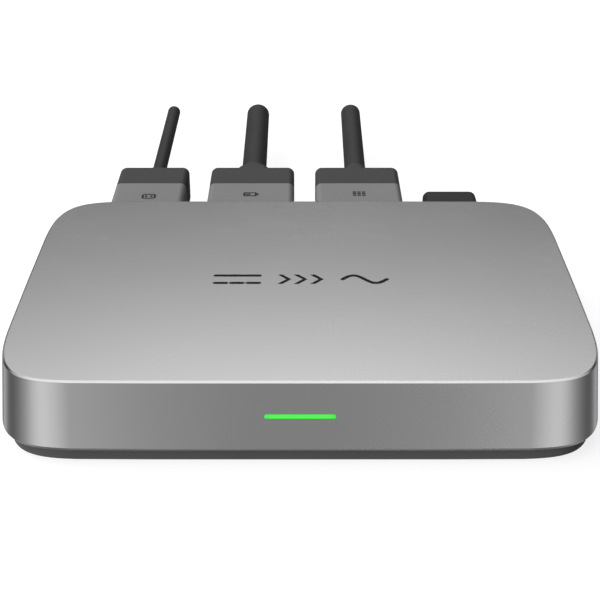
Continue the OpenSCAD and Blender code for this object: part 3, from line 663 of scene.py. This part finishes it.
class Plug:
    """One plug and its cable. Its cover lies towards the case and its boot behind the cover."""

    def __init__(self, name, x, width, cable_r, lean, relief, icon_dx, icon_y):
        self.name, self.body = name, name + "_plug"
        self.x, self.width, self.cable_r = x, width, cable_r
        self.slope = math.tan(math.radians(lean))
        self.relief = relief
        self.icon = x + icon_dx, icon_y
        low, high = node_box(name + "_plug_cover")
        self.start, self.joint = low[1], high[1]
        self.height = high[2] - low[2]
        self.end = node_box(name + "_cable_jacket")[1][1]
        self.bore = cable_r - 1.35  # radius of the room for the cores

    def block(self, y, w, h, radius):
        """A rounded section, which leans with the cable behind the boot."""
        return section(self.x - max(0.0, y - BOOT_END) * self.slope, y, PLUG_Z, w, h, radius)

    def round(self, y, radius, count=56, dx=0.0, dz=0.0):
        """A circle about the leaning cable axis, or beside it."""
        x = self.x + dx - (y - BOOT_END) * self.slope
        return circle_section(x, y, PLUG_Z + dz, radius, count)

    def build_cover(self):
        """A sleeve with an eased front edge, and a fine groove at the joint with the boot."""
        stations = [  # y, growth
            (self.joint - 0.02, -1.65), (self.joint - 0.02, -0.28), (self.joint - 0.1, -0.12),
            (self.joint - 0.28, -0.01), (self.joint - 0.5, 0), (self.start + 0.6, 0),
            (self.start + 0.25, -0.05), (self.start + 0.06, -0.2), (self.start, -0.45),
            (self.start, -1.65)]
        rings = [self.block(y, self.width + 2 * grow, self.height + 2 * grow, PLUG_R + grow)
                 for y, grow in stations]
        # slot in the underside, open towards the case and wider at its mouth: z, flare
        notch = []
        for dz, flare in ((-12, 0.8), (-9.98, 0.25), (-9.7, 0.0), (-5, 0.0)):
            half, y0, y1 = 6.3 + flare, self.start - 2, self.joint - 4 + flare
            notch.append([(self.x + side * half, y, PLUG_Z + dz)
                          for side, y in ((-1, y0), (1, y0), (1, y1), (-1, y1))])
        add(self.name + "_cover", skin(rings, closed=True), "plug_grey", self.body,
            "plug_grey_plastic", self.name + "_plug_cover", tools=[skin(notch)], angle=30)

    def build_boot(self):
        """The dark boot, its strain relief and the mouth round the cable."""
        joint, w, h, cable_r = self.joint, self.width, self.height, self.cable_r
        inner = cable_r - 1.2
        depth, squash = 3.4, 0.6
        stations = [  # y, w, h, corner radius
            (joint + 4, 2 * inner, 2 * inner, inner),
            (joint + 0.02, 2 * inner, 2 * inner, inner),
            (joint + 0.02, w - 0.6, h - 0.6, PLUG_R - 0.3),
            (joint + 0.1, w - 0.24, h - 0.24, PLUG_R - 0.12),
            (joint + 0.28, w - 0.02, h - 0.02, PLUG_R),
            (joint + 0.5, w, h, PLUG_R),
        ]
        stations += rounded_end(BOOT_END, w, h, depth, squash)
        end_h = h - squash * 2 * depth
        relief_w, relief_h, relief_r = self.relief
        stations += [
            (BOOT_END + 0.02, relief_w + 1.6, min(relief_h + 1.6, end_h - 0.15), relief_r + 0.5),
            (BOOT_END + 0.25, relief_w + 0.7, min(relief_h + 0.7, end_h - 0.2), relief_r + 0.3),
            (BOOT_END + 0.8, relief_w + 0.05, relief_h, relief_r),
        ]
        # the relief narrows smoothly to a collar round the cable
        for i in range(9):
            u = i / 8
            ease = u * u * (3 - 2 * u)
            stations.append((BOOT_END + 5.4 + 7.4 * u,
                             relief_w - ease * (relief_w - 2 * cable_r - 1.1),
                             relief_h - ease * (relief_h - 2 * cable_r - 1.1),
                             relief_r + ease * (cable_r + 0.5 - relief_r)))
        mouth = [(BOOT_END + 13.3, 0.95, 0.45), (BOOT_END + 13.55, 0.6, 0.28),
                 (BOOT_END + 13.6, SLEEVE_CLEARANCE, 0.02), (joint + 4, SLEEVE_CLEARANCE, 0.02)]
        stations += [(y, 2 * cable_r + more, 2 * cable_r + more, cable_r + more_r)
                     for y, more, more_r in mouth]
        rings = [self.block(*station) for station in stations]
        add(self.name + "_boot", skin(rings, closed=True), "boot_rubber", self.body,
            "boot_dark_rubber", self.name + "_plug_boot", angle=38)

    def build_jacket(self):
        start, end, radius = self.joint + 5, self.end, self.cable_r
        stations = [(start + (end - 0.4 - start) * i / 12, radius) for i in range(13)]
        stations += [(end - 0.12, radius - 0.08), (end, radius - 0.3), (end, radius - 1.12),
                     (end - 0.15, radius - 1.3), (start, radius - 1.3)]
        rings = [self.round(y, r) for y, r in stations]
        add(self.name + "_jacket", skin(rings, closed=True), "cable_jacket", self.body,
            "cable_jacket", self.name + "_cable_jacket")

    def core_layout(self):
        """The cores as (x, z, radius, colour), x and z from the cable's axis."""
        bore = self.bore
        if self.name == "grid":
            r = bore * 0.455
            reach = bore - r
            side = reach * math.cos(PI / 6)
            return [(-side, -reach / 2, r, "brown"), (0, reach, r, "yellow"),
                    (side, -reach / 2, r, "blue")]
        if self.name == "battery":
            r = bore * 0.42
            return [(r - bore, 0, r, "red"), (0, -2.2, 0.7, "white"), (0, 0, 0.7, "yellow"),
                    (0, 2.2, 0.7, "black"), (bore - r, 0, r, "black")]
        r = bore * 0.385
        reach = (bore - r) * math.sin(PI / 4)
        return [(-reach, reach, r, "red"), (-reach, -reach, r, "black"),
                (reach, -reach, r, "red"), (reach, reach, r, "black")]

    def core_strands(self, index, cx, cz, core_r):
        """Copper strands packed in a triangular grid, with uneven tips."""
        copper_r = core_r * COPPER_SHARE
        r = 0.13 if core_r > 1 else 0.1
        pitch = r * 2.02
        reach = int(copper_r / pitch) + 1
        axis_x = self.x + cx - (self.end - BOOT_END) * self.slope
        strands = []
        for u in range(-reach, reach + 1):
            for v in range(-reach, reach + 1):
                dx = (u + v * 0.5) * pitch
                dz = v * pitch * math.sqrt(3) / 2
                if math.hypot(dx, dz) > copper_r - r * 0.9:
                    continue
                uneven = math.sin(u * 12.9 + v * 7.3 + index * 3.1) * 0.5 + 0.5
                tip = self.end + 0.02 + 0.1 * uneven
                profile = [(r, self.end - 2.0), (r, tip - 0.05), (r * 0.6, tip)]
                strands.append(skin([circle_section(axis_x + dx, y, PLUG_Z + cz + dz, radius, 7)
                                     for radius, y in profile]))
        return strands

    def build_cores(self):
        """The cut end of the cable: insulation, copper strands and filler."""
        start, end = self.joint + 8, self.end
        strands = []
        for index, (cx, cz, r, tint) in enumerate(self.core_layout()):
            copper_r = r * COPPER_SHARE
            stations = [(start, r), (end - 0.1, r), (end, r - 0.06), (end, copper_r + 0.04),
                        (end - 0.1, copper_r), (start, copper_r)]
            rings = [self.round(y, radius, 28, cx, cz) for y, radius in stations]
            add("%s_core_%d" % (self.name, index + 1), skin(rings, closed=True),
                "insulation_" + tint, self.body, "core_insulation", weighted=False)
            strands += self.core_strands(index, cx, cz, r)
        add(self.name + "_strands", join(strands), "enamelled_wire", self.body,
            "core_insulation", self.name + "_cable_cores", weighted=False)
        filler = [(start, self.bore - 0.02), (end - 0.7, self.bore - 0.02),
                  (end - 0.55, self.bore - 0.2)]
        add(self.name + "_filler", skin([self.round(y, r) for y, r in filler]), "seal_rubber",
            self.body, "cable_jacket", weighted=False)

    def build_pictogram(self):
        top = PLUG_Z + self.height / 2
        span = top - 0.01, top + 0.02
        x, y = self.icon
        if self.name == "grid":  # a frame round two upright bars
            solids = [hollow_slab(x, y, 7.4, 6.0, 1.8, 1.1, *span)]
            solids += [slab(rounded(1.1, 2.4, 0.45, 4, x + dx, y), *span) for dx in (-1.35, 1.35)]
        elif self.name == "battery":  # a frame with a terminal on its right and a block inside
            solids = [hollow_slab(x - 0.3, y, 7.0, 5.0, 0.9, 1.1, *span),
                      slab(rounded(0.9, 2.2, 0.3, 4, x + 3.7, y), *span),
                      slab(rounded(2.4, 1.6, 0.2, 3, x - 1.2, y), *span)]
        else:  # three by three cells
            solids = [slab(rounded(1.85, 1.5, 0.2, 3, x + u * 2.4, y + v * 2.05), *span)
                      for u in (-1, 0, 1) for v in (-1, 0, 1)]
        add(self.name + "_pictogram", join(solids), "plug_print", self.body, None,
            weighted=False)

    def build(self):
        self.build_cover()
        self.build_boot()
        self.build_jacket()
        self.build_cores()
        self.build_pictogram()


# Name, x, width, cable radius, lean of the cable in degrees, strain relief (width, height,
# corner radius), pictogram's x from the plug's middle, pictogram's y
PLUGS = [
    ("grid", -79.0, 37.5, 3.8, 0.0, (13.6, 12.8, 4.5), 0.6, 102.8),
    ("battery", -25.7, 45.0, 6.8, 0.2, (18.4, 15.5, 4.0), 0.0, 105.4),
    ("solar", 30.7, 45.0, 5.9, -0.4, (14.0, 13.8, 5.0), 0.0, 106.2),
]


def build_antenna():
    (x0, y0, z0), (x1, y1, z1) = node_box("antenna_cover")
    x, w, h = (x0 + x1) / 2, x1 - x0, z1 - z0
    stations = [  # y, w, h, corner radius, from the inside out
        (y1 - 1.8, w - 5, h - 5, 1.4), (y1 - 2.4, w - 3.6, h - 3.6, 1.6),
        (y0, w - 3.4, h - 3.4, 1.6), (y0, w, h, PLUG_R)]
    stations += rounded_end(y1, w, h, depth=3.2, squash=0.8)
    stations.append((y1, w - 9, h - 8, 0.6))
    rings = [section(x, y, PLUG_Z, *size) for y, *size in stations]
    add("antenna_radome", skin(rings), "antenna_plastic", "case", "antenna_black_plastic",
        "antenna_cover", angle=38)


# ------------------------------------------------------------------ CAD nodes that stay
CAD_MATERIALS = {
    "case_gasket": "seal_rubber", "base_screws": "screw_steel", "vent_plug": "vent_plastic",
    "led_board": "circuit_board", "status_leds": "led_package", "port_panel": "panel_plastic",
    "port_panel_gasket": "seal_rubber", "antenna_board": "circuit_board",
    "antenna_lead": "lead_jacket", "main_board": "circuit_board", "board_screws": "screw_steel",
    "control_board": "circuit_board", "wireless_module": "shield_can",
    "dc_capacitors": "capacitor_sleeve", "film_capacitors": "film_case",
    "transformer_cores": "ferrite", "transformer_windings": "enamelled_wire",
    "choke_cores": "powder_core", "choke_windings": "enamelled_wire", "relays": "relay_case",
    "power_transistors": "transistor_epoxy", "transistor_clamps": "clamp_metal",
    "thermal_potting": "potting",
}
PLUG_CAD_MATERIALS = {
    "socket": "socket_plastic", "socket_pins": "contact_metal", "plug_housing": "plug_dark",
    "plug_contacts": "contact_metal", "plug_seal": "seal_rubber", "latch": "plug_dark",
    "latch_pin": "pin_steel",
}


def paint_cad_nodes():
    paints = dict(CAD_MATERIALS)
    for plug in PLUGS:
        for part, material in PLUG_CAD_MATERIALS.items():
            paints[plug[0] + "_" + part] = material
    for node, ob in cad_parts.items():
        if node not in paints:
            continue
        material = materials[paints[node]]
        if ob.material_slots:
            for slot in ob.material_slots:
                slot.material = material
        else:
            ob.data.materials.append(material)


# ------------------------------------------------------------------ stage, in metres
def build_floor():
    cells, half = 24, 3.0
    bm = bmesh.new()
    grid = [[bm.verts.new(((i / cells - 0.5) * 2 * half, (j / cells - 0.5) * 2 * half, 0.0))
             for i in range(cells + 1)] for j in range(cells + 1)]
    for j in range(cells):
        for i in range(cells):
            bm.faces.new((grid[j][i], grid[j][i + 1], grid[j + 1][i + 1], grid[j + 1][i]))
    mesh = bpy.data.meshes.new("floor")
    bm.to_mesh(mesh)
    bm.free()
    floor = bpy.data.objects.new("floor", mesh)
    bpy.context.scene.collection.objects.link(floor)
    white = surface("floor_white", (0.28, 0.28, 0.28), roughness=0.7, metallic=0.0, grain=200,
                    bump=0.05, depth=0.05, var=0.004, rvar=0.03, cloud=3, specular=0.2)
    shader = principled(white)
    shader.inputs["Emission Color"].default_value = rgba(1)
    shader.inputs["Emission Strength"].default_value = 0.79
    mesh.materials.append(white)
    floor.location.z = -0.00005
    # the floor sends no light back onto the case
    floor.visible_glossy = False
    floor.visible_diffuse = False


def build_world():
    """White to the camera, a painted studio to reflections, and a soft light to matt surfaces."""
    world = bpy.data.worlds.new("studio")
    bpy.context.scene.world = world
    world.use_nodes = True
    world.node_tree.nodes.clear()
    g = Graph(world.node_tree)
    output = g.node("OutputWorld")
    background = g.node("Background")
    g.feed(output, {0: background.outputs[0]})
    x, y, z = g.split(g.coords("Generated"))
    # elevation in degrees, and azimuth from 0 at the front (-y) to 1 at the back (+y)
    elevation = g.math("MULTIPLY", g.math("ARCSINE", z), 180 / PI)
    bearing = g.math("ARCTAN2", x, g.math("MULTIPLY", y, -1.0))
    azimuth = g.math("MULTIPLY", g.math("ABSOLUTE", bearing), 1 / PI)

    def by_height(stops, interpolation):
        height = g.remap(elevation, span=(0, 90), to=(0, 1))
        return g.ramp(height, stops, interpolation)

    # Each stop is a position and a brightness
    front = by_height([(0.0, 0.30), (0.25, 0.36), (0.5, 0.85), (0.62, 1.42), (0.8, 1.6),
                       (1.0, 1.6)], "EASE")
    rear = by_height([(0.0, 0.02), (0.28, 0.03), (0.32, 0.28), (0.385, 1.52), (0.45, 1.74),
                      (1.0, 1.65)], "LINEAR")
    rear_high = g.ramp(azimuth, [(0.0, 0.5), (0.5, 0.42), (0.72, 0.4), (0.8, 0.6), (0.86, 0.72),
                                 (0.92, 0.86), (0.965, 0.975), (1.0, 1.0)])
    rear_low = g.ramp(azimuth, [(0.0, 0.5), (0.7, 0.5), (0.8, 1.1), (0.84, 1.25), (0.9, 1.12),
                                (1.0, 0.9)])
    rear_side = g.mix(g.remap(elevation, span=(22, 36), to=(0, 1), smooth=True),
                      rear_low, rear_high)
    rear = g.multiply(rear, rear_side)
    upper = g.mix(g.remap(azimuth, span=(0.42, 0.62), to=(0, 1), smooth=True), front, rear)
    lower = g.ramp(azimuth, [
        (0.0, 0.235), (0.028, 0.285), (0.056, 0.42), (0.083, 0.59), (0.119, 0.82), (0.15, 1.0),
        (0.185, 1.02), (0.242, 0.74), (0.30, 0.46), (0.364, 0.31), (0.43, 0.21), (0.5, 0.14),
        (0.58, 0.13), (0.66, 0.24), (0.72, 0.52), (0.78, 0.56), (0.83, 0.06), (1.0, 0.04)])
    for span, to in (((-75, -45), (0.62, 1.0)), ((-33, -20), (1.05, 0.95))):
        lower = g.multiply(lower, g.remap(elevation, span=span, to=to, smooth=True))
    studio = g.mix(g.remap(elevation, span=(-4, 16), to=(0, 1), smooth=True), lower, upper)
    studio = g.multiply(studio, g.remap(x, span=(-1, 1), to=(1.1, 0.96)))
    # matt surfaces are lit from above and from the left
    soft = g.multiply(g.remap(z, span=(-0.6, 0.9), to=(0.2, 1.5)),
                      g.remap(x, span=(-0.6, 0.35), to=(1.84, 0.02)))
    ray = g.node("LightPath").outputs
    lit = g.mix(ray["Is Diffuse Ray"], studio, soft)
    final = g.mix(ray["Is Camera Ray"], lit, (1.0, 1.0, 1.0))
    g.feed(background, {"Color": final, "Strength": 1.0})


def build_key_light():
    """An area light above and to the left, behind the case."""
    light = bpy.data.lights.new("key_left", "AREA")
    light.shape = "RECTANGLE"
    light.size, light.size_y = 0.7, 0.9
    light.energy = 5.0
    ob = bpy.data.objects.new("key_left", light)
    ob.location = (-0.9, 0.5, 1.0)
    target = Vector((0, 0.1, 0))
    ob.rotation_euler = (target - ob.location).to_track_quat("-Z", "Y").to_euler()
    bpy.context.scene.collection.objects.link(ob)
    ob.visible_glossy = False


def build_camera():
    """A camera in front of the case, looking back and down on it."""
    pitch_down = 27.91
    height = 0.26289  # above a level 0.27 mm under the case top
    data = bpy.data.cameras.new("camera")
    camera = bpy.data.objects.new("camera", data)
    data.sensor_width = 36.0
    data.lens = 75.9042
    data.shift_y = -0.03286667
    data.clip_start = 0.01
    camera.location = (-0.00005, -0.49667, (TOP - 0.27) * MM + height)
    camera.rotation_euler = (math.radians(90 - pitch_down), 0, 0)
    scene = bpy.context.scene
    scene.collection.objects.link(camera)
    scene.camera = camera
    scene.view_settings.view_transform = "Standard"
    scene.view_settings.look = "None"


build_shell()
build_port_frame()
build_base()
build_light_bar()
build_mark()
for row in PLUGS:
    Plug(*row).build()
build_antenna()
paint_cad_nodes()
build_floor()
build_world()
build_key_light()
build_camera()

bpy.context.view_layer.update()
